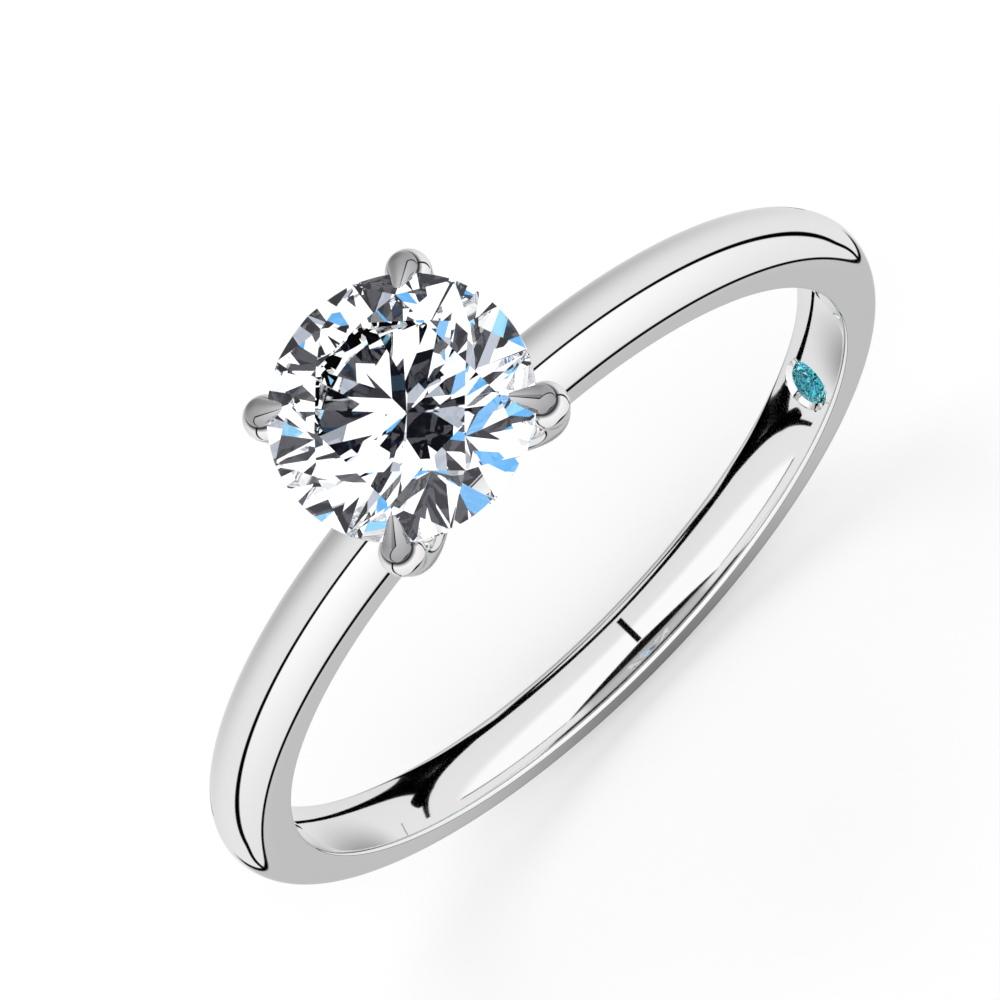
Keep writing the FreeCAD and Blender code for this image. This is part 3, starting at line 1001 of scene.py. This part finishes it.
def make_strip_card(name, strips, tone):
    """A card in one or more strips, each a list of pairs of points across it."""
    points, faces = [], []
    for pairs in strips:
        for number, pair in enumerate(pairs):
            last = len(points)
            if number:
                faces.append((last - 2, last, last + 1, last - 1))
            points += pair
    return make_card(name, points, faces, tone)


def evenly(reach, steps):
    """Places from -reach to reach, at even steps."""
    return [reach * (2 * number / steps - 1) for number in range(steps + 1)]


def make_head_card():
    """A dark card high over the head."""
    half, middle, level = 1.95, 0.8, 16.4
    corners = rectangle((-half, middle - half), (half, middle + half), level)
    make_card("head_card", corners, [(0, 1, 2, 3)], 0.04)


def make_rear_arch():
    """A black arch behind the bore, widest down its two legs and tapered at their ends."""
    rear, reach, rise, bend, foot = 5.0, 12.5, 6.9, 3.2, -9.0
    thin, spread, tallest = 0.10, 0.13, 1.6
    taper_end, taper = 13.5, 5.5
    pairs = []
    for across in evenly(reach, 100):
        side = abs(across)
        middle = foot + rise / math.hypot(1, across / bend)
        tall = min(thin + spread * side, tallest) * min(1.0, (taper_end - side) / taper)
        pairs.append([(across, rear, middle - tall), (across, rear, middle + tall)])
    make_strip_card("rear_arch", [pairs], 0.0)


def make_bore_fill():
    """A white disc just behind the bore, which fades out towards its foot."""
    rear, radius, tone = 1.8, 8.2, 1.02
    clear_level, full_level = -4.8, -3.6
    pairs = []
    for level in evenly(radius, 40):
        side = math.sqrt(max(radius ** 2 - level ** 2, 0.0))
        pairs.append([(side, rear, level), (-side, rear, level)])
    fill = make_strip_card("bore_fill", [pairs], tone)
    tree = fill.data.materials[0].node_tree
    coordinates = tree.nodes.new("ShaderNodeTexCoord")
    split = tree.nodes.new("ShaderNodeSeparateXYZ")
    tree.links.new(coordinates.outputs["Object"], split.inputs[0])
    fade = Sums(tree).step(split.outputs[2], clear_level * MM, full_level * MM)
    tree.links.new(fade, tree.nodes["Principled BSDF"].inputs["Alpha"])


def make_wall_bar():
    """The dark bar that the wall mirrors across its lowest point."""
    half, front, rear, level = 0.05, 0.12, 1.4, -7.0
    make_card("wall_bar", rectangle((-half, front), (half, rear), level), [(0, 1, 2, 3)], 0.0)


def make_wall_edge():
    """A black wedge, a grey cap over it and two black arcs, along the wall's near edge."""
    half, foot, top = 6.4, 0.4, 5.2
    wedge_rear, cap_rear, arc_rear = 1.7, 1.72, 1.74
    corners = [(0, wedge_rear, foot), (half, wedge_rear, top), (-half, wedge_rear, top)]
    make_card("wall_wedge", corners, [(0, 1, 2)], 0.0)
    cap_radius, cap_tone = 8.5, 0.42
    pairs = []
    for x in evenly(half, 20):
        pairs.append([(x, cap_rear, top), (x, cap_rear, math.sqrt(cap_radius ** 2 - x ** 2))])
    make_strip_card("wall_grey", [pairs], cap_tone)
    inner, outer, step, count = 7.9, 8.4, 4, 18
    arcs = []
    for start in (-30, 142):
        turns = [math.radians(start + step * number) for number in range(count)]
        arcs.append([
            [(radius * math.cos(turn), arc_rear, radius * math.sin(turn)) for radius in (inner, outer)]
            for turn in turns
        ])
    make_strip_card("wall_rim", arcs, 0.0)


def make_wall_ends():
    """A thin dark strip, bent at its middle, that carries the arch's image to the wall's near edge."""
    rear, reach = 2.2, 8.0
    low, low_fall = -6.12, 0.11
    high, high_fall = -5.82, 0.10
    pairs = []
    for x in evenly(reach, 40):
        pairs.append([(x, rear, low - low_fall * abs(x)), (x, rear, high - high_fall * abs(x))])
    make_strip_card("wall_ends", [pairs], 0.0)


def make_contact():
    """The ring's own shade on the floor, as the band's lower side mirrors it."""
    half = 14.0
    level = 0.01 - CREST
    darkest = 0.75
    per_metre = (110, 220, 0)
    corners = rectangle((-half, -half), (half, half), level)
    card = make_card("contact_shade", corners, [(0, 1, 2, 3)], 0.0)
    tree = card.data.materials[0].node_tree
    coordinates = tree.nodes.new("ShaderNodeTexCoord")
    stretch = tree.nodes.new("ShaderNodeMapping")
    stretch.inputs["Scale"].default_value = per_metre
    reach = tree.nodes.new("ShaderNodeVectorMath")
    reach.operation = "LENGTH"
    fade = tree.nodes.new("ShaderNodeMapRange")
    fade.interpolation_type = "SMOOTHSTEP"
    fade.inputs["To Min"].default_value = darkest
    fade.inputs["To Max"].default_value = 0.0
    tree.links.new(coordinates.outputs["Object"], stretch.inputs["Vector"])
    tree.links.new(stretch.outputs["Vector"], reach.inputs[0])
    tree.links.new(reach.outputs["Value"], fade.inputs["Value"])
    tree.links.new(fade.outputs["Result"], tree.nodes["Principled BSDF"].inputs["Alpha"])


def make_lamp():
    """A broad soft lamp, high behind the ring, that lights the floor."""
    lamp = bpy.data.lights.new("overhead", "SUN")
    lamp.energy = 0.20
    lamp.angle = math.radians(18)
    obj = bpy.data.objects.new("overhead", lamp)
    bpy.context.scene.collection.objects.link(obj)
    towards = Vector((0, 0.33, 1)).normalized()
    obj.rotation_euler = towards.to_track_quat("Z", "Y").to_euler()
    obj.visible_glossy = False
    obj.visible_transmission = False


def make_camera():
    """The camera looks down on the ring from the front, rolled so that the band runs up to the right."""
    back, right, up = view_axes()
    roll = math.radians(VIEW_ROLL)
    side = math.cos(roll) * right - math.sin(roll) * up
    top = math.sin(roll) * right + math.cos(roll) * up
    place_at = (back * VIEW_DISTANCE + right * VIEW_AIM[0] + up * VIEW_AIM[1]) * MM
    data = bpy.data.cameras.new("camera")
    data.sensor_width = SENSOR
    data.lens = LENS
    data.clip_start = 0.01
    data.clip_end = 10
    camera = bpy.data.objects.new("camera", data)
    bpy.context.scene.collection.objects.link(camera)
    turn = Matrix((side, top, back)).transposed().to_4x4()
    camera.matrix_world = Matrix.Translation(place_at) @ turn
    bpy.context.scene.camera = camera


def set_light_paths():
    """Enough bounces for light to leave the diamond, and plain tones in the picture."""
    scene = bpy.context.scene
    scene.cycles.max_bounces = 24
    scene.cycles.transmission_bounces = 24
    scene.cycles.glossy_bounces = 12
    scene.cycles.blur_glossy = 0.0
    scene.view_settings.view_transform = "Standard"


metal_finish = polished_metal()
place(shank_object(), "shank", metal_finish)
make_base(metal_finish)
make_rail(metal_finish)
make_claws(metal_finish)
make_stones(
    clear_stone("diamond_clear", index=2.417, first=(1, 1, 1, 1), second=(0.985, 0.99, 1, 1)),
    clear_stone("blue_green_clear", index=1.62, first=(0.20, 0.74, 0.80, 1), second=(0.32, 0.86, 0.88, 1)),
)
make_world()
make_floor()
make_head_card()
make_rear_arch()
make_bore_fill()
make_wall_bar()
make_wall_edge()
make_wall_ends()
make_contact()
make_lamp()
make_camera()
set_light_paths()
